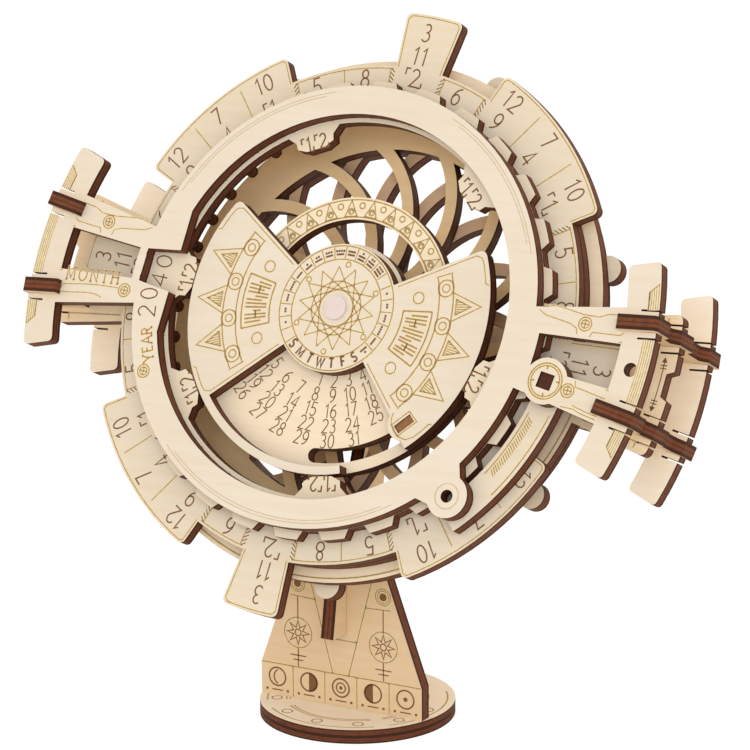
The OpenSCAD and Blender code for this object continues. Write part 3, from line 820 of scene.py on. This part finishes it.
class EngraveSunMask(bpy.types.Operator):
    """Weekday ring, star and sunbursts on the mask"""

    bl_idname = "calendar.engrave_sun_mask"
    bl_label = "Engrave the sun mask"

    def execute(self, context):
        work = Engraving("mask_engraving", "stand", head_matrix(SHEET))
        for r in (10.2, 13.0):
            work.circle(0, 0, r, width=LINE)
        for i, letter in enumerate(WEEKDAYS):
            work.text_at(letter, 11.45, 180.3 - (i - 3) * DAY_PITCH, 2.0, up=-1, width=BROAD, squeeze=0.95)
        for i in range(SECTORS - WEEK):
            a = 180 + (WEEK / 2 + i) * PITCH
            work.spoke(a, 10.4, 12.8)
            day_numeral(work, i % 14, 11.6, a + PITCH / 2)
        # star of chords round the axle
        points = [polar(8.7, 360 / STAR_POINTS * (i + 0.5)) for i in range(STAR_POINTS)]
        for i in range(STAR_POINTS):
            work.line([points[i], points[(i + STAR_SKIP) % STAR_POINTS]], width=THIN)
        for i in range(6):
            work.circle(*polar(9.2, 60 * i), 0.55, steps=12)
        work.circle(0, 0, 5.6)
        for side in (-1, 1):
            self.sunburst(work, side * BURST_MIDDLE)
        # stop peg and its tab
        first, last = -PEG_HALF, PEG_HALF
        corners = ((PEG_INNER, first), (PEG_OUTER, first), (PEG_OUTER, last), (PEG_INNER, last))
        work.clock_line(corners, PEG_ANGLE, closed=True)
        work.clock_line(TAB_LINE, width=THIN)
        work.build()
        return {"FINISHED"}

    def sunburst(self, work, mid):
        # edge lines of the sector; the peg's tab takes one corner
        for s in (-1, 1):
            edge = BURST_EDGE_CUT if mid > 0 and s > 0 else BURST_EDGE
            work.clock_line(edge, mid + s * BURST_HALF, -s, width=THIN)
        # band with discs
        for r in BURST_BAND:
            work.ring_arc(r, mid - 33, mid + 33, width=FULL)
        for a in (-27, -9, 9, 27):
            x, y = polar(24.75, mid + a)
            work.circle(x, y, 1.75, width=FIRM)
            work.circle(x, y, 0.85, width=LINE)
        # three rays
        for a in (-18, 0, 18):
            work.clock_line(((26.4, -6.4), (32.6, 0), (26.4, 6.4)), mid + a, width=LINE)
            work.clock_line(((27.0, -3.4), (30.4, 0), (27.0, 3.4)), mid + a, closed=True)
            for t in range(-3, 4):
                work.spoke(mid + a + t, 27.1, 27.1 + 3.0 * (1 - abs(t) / 3.4), width=THIN)
        for s in (-1, 1):
            work.spoke(mid + s * 33.48, 22.9, 26.6, width=LINE)
        # hatched panel towards the hub
        for r in BURST_PANEL:
            work.ring_arc(r, mid - 15.5, mid + 15.5, width=STRONG)
        for a in (-15.5, 15.5):
            work.spoke(mid + a, *BURST_PANEL, width=STRONG)
        for k in range(12):
            inner = 16.2 if k % 3 else 17.4
            outer = 21.1 if (k + 1) % 4 else 19.2
            work.spoke(mid - 12.6 + 25.2 * k / 11, inner, outer, width=HEAVY)
        for a in (-8, 8):
            work.ring_arc(18.6, mid + a - 2.6, mid + a + 2.6, tone="burn", width=STRONG)
        for a in (-24, 24):
            work.circle(*polar(18.6, mid + a), 1.2, width=LINE)


# ---- frames of the head


# stepped lines on the arms, (x, y) on the dial
UPPER_LINES = (
    ((64.4, 10.2), (61.0, 9.7), (59.1, 8.8), (55.6, 8.7), (50.2, 9.3), (46.8, 9.0)),
    ((65.2, 6.7), (64.5, 6.1), (58.6, 5.6), (58.2, 4.6)),
    ((55.4, 4.6), (55.1, 5.7), (53.6, 6.4), (47.8, 7.1), (46.1, 7.9)),
)
LEFT_LINES = (
    ((-63.9, -8.5), (-63.5, -7.6), (-57.6, -6.6), (-54.0, -6.2), (-50.0, -6.0)),
    ((-64.8, -9.6), (-57.6, -8.4), (-54.9, -8.3), (-53.5, -8.7)),
)
RIGHT_LINES = (
    ((57.9, -4.4), (58.2, -5.6), (60.5, -5.9), (65.0, -6.6)),
    ((56.3, -9.9), (58.9, -9.9), (60.6, -10.4), (64.1, -11.0)),
    ((58.6, -9.2), (61.6, -9.9), (64.3, -10.3)),
)
CROSSES = ((-56.9, 7.2), (-48.4, -6.2), (-38.2, -21.7), (56.6, 6.9), (56.8, -6.6))
RING_LINES = ((20, 66), (144, 218), (292, 344))     # first and last angle
MONTH_X, MONTH_Y, MONTH_SLOPE = -56.9, -4.6, 5.7    # middle and slope of the window's name
SHADE_INNER, SHADE_STEP = 69.9, 0.48                # shaded panels on the end bars
INSIDE_RIB, OUTSIDE_RIB = 5.2, 9.9                  # where the panels stop beside a rib
LUG, BADGE = (49.5, 130.4), (51.9, 96.3)            # (radius, angle)


class EngraveFrontFrame(bpy.types.Operator):
    """Window names, ring lines and the marks on bars, lug and badge"""

    bl_idname = "calendar.engrave_front_frame"
    bl_label = "Engrave the front frame"

    def execute(self, context):
        work = Engraving("front_engraving", "stand", head_matrix(2 * SHEET))
        # names of the two windows
        s, c = sin(radians(MONTH_SLOPE)), cos(radians(MONTH_SLOPE))
        work.text("MONTH", lambda x, y: (MONTH_X + x * c - y * s, MONTH_Y + x * s + y * c), 2.6,
                  tone="tan", width=STRONG, gap=0.28, serif=True)
        for i, letter in enumerate("YEAR"):
            work.text_at(letter, 42.4, 243.6 + 2.62 * i, 2.4, tone="tan", width=LETTER, serif=True)
        work.text_at("20", 42.6, 259.8, 4.0, width=STRONG, gap=0.3)
        # circles with a cross
        r = 0.868
        for x, y in CROSSES:
            work.circle(x, y, 1.4, width=LINE)
            work.circle(x, y, r)
            work.line([(x - r, y), (x + r, y)])
            work.line([(x, y - r), (x, y + r)])
        # double lines on the ring
        for a0, a1 in RING_LINES:
            work.ring_arc(44.9, a0, a1, tone="faint", width=PENCIL)
            work.ring_arc(44.3, a0 + 3, a1 - 3, tone="faint", width=PENCIL)
        for points in UPPER_LINES:
            for side in (-1, 1):
                work.line([(side * x, y) for x, y in points], width=HAIR)
        for points in LEFT_LINES + RIGHT_LINES:
            work.line(points, width=HAIR)
        for side in (-90, 90):
            self.bar(work, side)
        # lug and badge
        work.circle(*polar(*LUG), 2.55, tone="faint")
        x, y = polar(*BADGE)
        work.circle(x, y, 3.6, width=FIRM)
        work.circle(x, y, 3.1, width=LINE)
        for k in range(4):
            t = radians(6 + 90 * k)
            work.line([(x + r * cos(t), y + r * sin(t)) for r in (2.35, 3.05)], width=STRONG)
        work.build()
        return {"FINISHED"}

    def bar(self, work, mid):
        """Shaded panels along the outer edge of an end bar, between and beyond the ribs."""
        for i in range(5):
            r = SHADE_INNER + SHADE_STEP * i
            work.ring_arc(r, mid - INSIDE_RIB, mid + INSIDE_RIB, width=SHADE)
            for s in (-1, 1):
                work.ring_arc(r, mid + s * OUTSIDE_RIB, mid + s * (12.9 + 0.28 * i), width=SHADE)
        for s in (-1, 1):
            edge = ((SHADE_INNER, OUTSIDE_RIB), (SHADE_INNER, 12.9), (71.9, 14.1))
            work.clock_line(edge, mid, s, width=HAIR)
        for s in (-1, 1):
            work.spoke(mid + s * 4.248, 64.9, 65.5)


class EngraveDeepRings(bpy.types.Operator):
    """Marks on the guard arc and the middle frame"""

    bl_idname = "calendar.engrave_deep_rings"
    bl_label = "Engrave the deeper rings"

    def execute(self, context):
        work = Engraving("guard_engraving", "stand", head_matrix(SHEET))
        work.ring_arc(54.3, 102.5, 123, width=LINE)
        work.ring_arc(50.0, 104, 121, width=LINE)
        for i in range(22):
            a = 105 + 15 * (i + 0.5) / 22
            work.clock_line(((50.4, -0.4), (51.8, 0.4)), a)
        work.build()
        work = Engraving("middle_engraving", "stand", head_matrix(-2 * SHEET))
        for side in (-90, 90):
            for s in (-1, 1):
                work.clock_line(((56.5, 10.2), (69.2, 9.9), (69.2, 11.0)), side, s, width=HAIR)
        # arrow with two barbed heads along the right arm's end
        work.ring_arc(69.7, 90 - 3.9, 90 + 3.9, tone="burn")
        for s in (-1, 1):
            work.area([polar(69.7, 90 + s * 4.6), polar(69.1, 90 + s * 3.7), polar(70.3, 90 + s * 3.7)])
            for step in (3.2, 2.7):
                work.spoke(90 + s * step, 69.0, 70.4, tone="burn")
        work.ring_arc(53.9, 100, 260, width=LINE)
        work.build()
        return {"FINISHED"}


# ---- stand and foot


STRIP_TOP = 7.0                         # top of the strip of panels along the plate's lower edge
MOONS = (4, 1, 2, 3, 0)                 # phases, from the left
EYE_Y, STAR_Y = 25.4, 14.6              # heights of the bored eyes and the stars over the foot
STAR_OUTER, STAR_INNER = 2.7, 1.15
FOOT_ARCS = ((50, 130), (140, 220), (236, 310))


def moon(work, cx, cy, r, phase):
    """A moon: 0 new, 1 first quarter, 2 full, 3 last quarter, 4 crescent."""
    work.circle(cx, cy, r, tone="burn", width=HEAVY)
    if phase == 2:
        work.circle(cx, cy, r * 0.55, tone="burn", width=LETTER)
        work.dot(cx, cy, r * 0.2)
    elif phase in (1, 3):
        s = 1 if phase == 1 else -1
        work.area([(cx + s * x, cy + y) for x, y in arc(0, 0, r, r, -90, 90, 12)])
    elif phase == 4:
        work.line(arc(cx + r * 0.45, cy, r * 0.86, r * 0.86, 118, 242, 9), "burn", work.marks.bold)
    else:
        work.dot(cx, cy, r * 0.25)


class EngraveStand(bpy.types.Operator):
    """Panels, moons and stars on the stand plate, circles on the foot"""

    bl_idname = "calendar.engrave_stand"
    bl_label = "Engrave the stand and foot"

    def execute(self, context):
        low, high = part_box("stand_front_plate")
        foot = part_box("base_disc_upper")[1].z
        # x to the right, y up from the foot
        work = Engraving("stand_engraving", "stand", sheet_matrix((1, 0, 0), (0, 0, 1), (0, low.y, foot)))
        half = (high.x - low.x) / 2 / MM
        panel = 2 * half / len(MOONS)
        work.line([(-half + 0.2, STRIP_TOP), (half - 0.2, STRIP_TOP)], width=FULL)
        for i in range(1, len(MOONS)):
            work.line([(-half + i * panel, 0.3), (-half + i * panel, STRIP_TOP - 0.1)], width=FIRM)
        for i, phase in enumerate(MOONS):
            x = -half + (i + 0.5) * panel
            moon(work, x, 4.1, 2.0, phase)
            for s in (-1, 1):
                work.dot(x + s * 2.5, 1.2, 0.3)
            work.line([(x - 1.3, 1.2), (x + 1.3, 1.2)], tone="burn", width=FULL)
        # funnel of lines up to the slot
        for s in (-1, 1):
            work.line([(s * 1.9, STRIP_TOP), (s * 7.6, 28.5)], width=FIRM)
            work.line([(s * 6.0, 22.5), (s * 11.9, 22.7)], width=FIRM)
        work.line([(-4.0, STAR_Y), (4.0, STAR_Y)], width=FIRM)
        for s in (-1, 1):
            self.hanging_star(work, s * 10.2)
        work.build()
        work = Engraving("foot_engraving", "stand", sheet_matrix((1, 0, 0), (0, 1, 0), (0, 0, foot)))
        for r in (14.2, 14.9, 18.9):
            for a0, a1 in FOOT_ARCS:
                work.ring_arc(r, a0, a1)
        for a in range(90, 270, 30):
            work.circle(*polar(16.9, a), 1.1, tone="burn", width=LINE)
        work.build()
        return {"FINISHED"}

    def hanging_star(self, work, x):
        """A star on a stem under a bored eye."""
        work.dot(x, EYE_Y, 0.85, steps=16)
        work.circle(x, EYE_Y, 1.35, width=LINE)
        work.circle(x, EYE_Y, 1.8, width=LINE)
        work.line([(x, 22.6), (x, 17.6)], tone="burn", width=FIRM)
        star = [polar(STAR_INNER if k % 2 else STAR_OUTER, 22.5 * k) for k in range(16)]
        work.line([(x + dx, STAR_Y + dy) for dx, dy in star], tone="burn", width=FIRM, closed=True)
        work.circle(x, STAR_Y, 0.75, tone="burn", width=FIRM)
        work.circle(x, STAR_Y, 3.3, width=FIRM)
        work.line([(x, 11.2), (x, 7.2)], tone="burn", width=FIRM)
        for y, reach in ((9.6, 1.9), (8.6, 1.2)):
            work.line([(x - reach, y), (x + reach, y)], tone="burn", width=FIRM)


# ---- stage


WHITE = (1, 1, 1, 1)
FLOOR_HALF = 3.0
FLOOR_GLOW, FLOOR_PART = 1.12, 0.82     # white that only the camera sees, and its part of the floor
LAMPS = (("key_lamp", (0.06, -1.02, 0.82), "key_power"), ("fill_lamp", (0.62, -0.86, 0.42), "fill_power"))
LAMP_SIZE = 0.60
LAMP_AIM = Vector((0, 0, 0.08))


class SetStage(bpy.types.Operator):
    """Floor, even light, two soft lamps and the camera"""

    bl_idname = "calendar.set_stage"
    bl_label = "Set the stage"

    def execute(self, context):
        scene = context.scene
        stage = scene.calendar_stage
        scene.view_settings.view_transform = "Standard"
        self.lay_floor(stage)
        self.light(scene, stage)
        self.aim_camera(scene, stage)
        return {"FINISHED"}

    def lay_floor(self, stage):
        mesh = bmesh.new()
        bmesh.ops.create_grid(mesh, x_segments=1, y_segments=1, size=FLOOR_HALF)
        floor = mesh_object("floor", mesh)
        material, tree = new_material("floor_white")
        path = add(tree, "LightPath")
        part = add(tree, "Math", {0: path.outputs["Is Camera Ray"], 1: FLOOR_PART}, operation="MULTIPLY")
        plain = add(tree, "BsdfDiffuse", {"Color": tinted(stage.floor)})
        glow = add(tree, "Emission", {"Color": WHITE, "Strength": FLOOR_GLOW})
        blend = add(tree, "MixShader", {0: part.outputs[0], 1: plain.outputs[0], 2: glow.outputs[0]})
        add(tree, "OutputMaterial", {"Surface": blend.outputs[0]})
        coat(floor, material)

    def light(self, scene, stage):
        scene.world = bpy.data.worlds.new("studio")
        scene.world.use_nodes = True
        tree = scene.world.node_tree
        tree.nodes.clear()
        seen = add(tree, "LightPath").outputs["Is Camera Ray"]
        inputs = {"Color": tinted(stage.ambient_colour), "Strength": stage.ambient}
        even = add(tree, "Background", inputs)
        white = add(tree, "Background", {"Color": WHITE, "Strength": 1.0})
        blend = add(tree, "MixShader", {0: seen, 1: even.outputs[0], 2: white.outputs[0]})
        add(tree, "OutputWorld", {"Surface": blend.outputs[0]})
        for name, place, power in LAMPS:
            lamp = bpy.data.lights.new(name, "AREA")
            lamp.shape = "DISK"
            lamp.size = LAMP_SIZE
            lamp.energy = getattr(stage, power)
            lamp.color = stage.lamp_colour
            holder = bpy.data.objects.new(name, lamp)
            holder.location = place
            holder.rotation_euler = (LAMP_AIM - Vector(place)).to_track_quat("-Z", "Y").to_euler()
            scene.collection.objects.link(holder)

    def aim_camera(self, scene, stage):
        az, el, roll = stage.azimuth, stage.elevation, stage.roll
        forward = Vector((-sin(az) * cos(el), cos(az) * cos(el), -sin(el)))
        right = Vector((cos(az), sin(az), 0))
        up = right.cross(forward)
        right, up = right * cos(roll) + up * sin(roll), up * cos(roll) - right * sin(roll)
        lens = bpy.data.cameras.new("camera")
        lens.sensor_width = 36
        lens.lens = stage.lens
        lens.clip_start = 0.01
        camera = bpy.data.objects.new("camera", lens)
        camera.matrix_world = axes_matrix(right, up, -forward, stage.place)
        scene.collection.objects.link(camera)
        scene.camera = camera


# ---- add-on


class CalendarPanel(bpy.types.Panel):
    """Sizes, colours and steps of the calendar"""

    bl_idname = "VIEW3D_PT_plywood_calendar"
    bl_label = "Plywood calendar"
    bl_space_type = "VIEW_3D"
    bl_region_type = "UI"
    bl_category = "Calendar"

    def draw(self, context):
        for name, _ in SETTINGS:
            settings = getattr(context.scene, name)
            box = self.layout.box()
            box.label(text=name.removeprefix("calendar_").capitalize())
            for key in settings.bl_rna.properties.keys():
                if key not in ("rna_type", "name"):
                    box.prop(settings, key)
        for operator in OPERATORS:
            self.layout.operator(operator.bl_idname)


SETTINGS = (
    ("calendar_plywood", PlywoodSettings),
    ("calendar_engraving", EngravingSettings),
    ("calendar_head", HeadSettings),
    ("calendar_stage", StageSettings),
)
OPERATORS = (
    FinishSheets, OpenMaskRim, FinishSmallPieces, EngraveMonthDial, EngraveYearDial, EngraveDatePlate,
    EngraveSunMask, EngraveFrontFrame, EngraveDeepRings, EngraveStand, SetStage,
)


def register():
    for name, kind in SETTINGS:
        bpy.utils.register_class(kind)
        setattr(bpy.types.Scene, name, PointerProperty(type=kind))
    for operator in OPERATORS:
        bpy.utils.register_class(operator)
    bpy.utils.register_class(CalendarPanel)


def unregister():
    bpy.utils.unregister_class(CalendarPanel)
    for operator in reversed(OPERATORS):
        bpy.utils.unregister_class(operator)
    for name, kind in reversed(SETTINGS):
        delattr(bpy.types.Scene, name)
        bpy.utils.unregister_class(kind)


def main():
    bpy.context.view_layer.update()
    register()
    for operator in OPERATORS:
        family, step = operator.bl_idname.split(".")
        getattr(getattr(bpy.ops, family), step)()


if __name__ == "__main__":
    main()
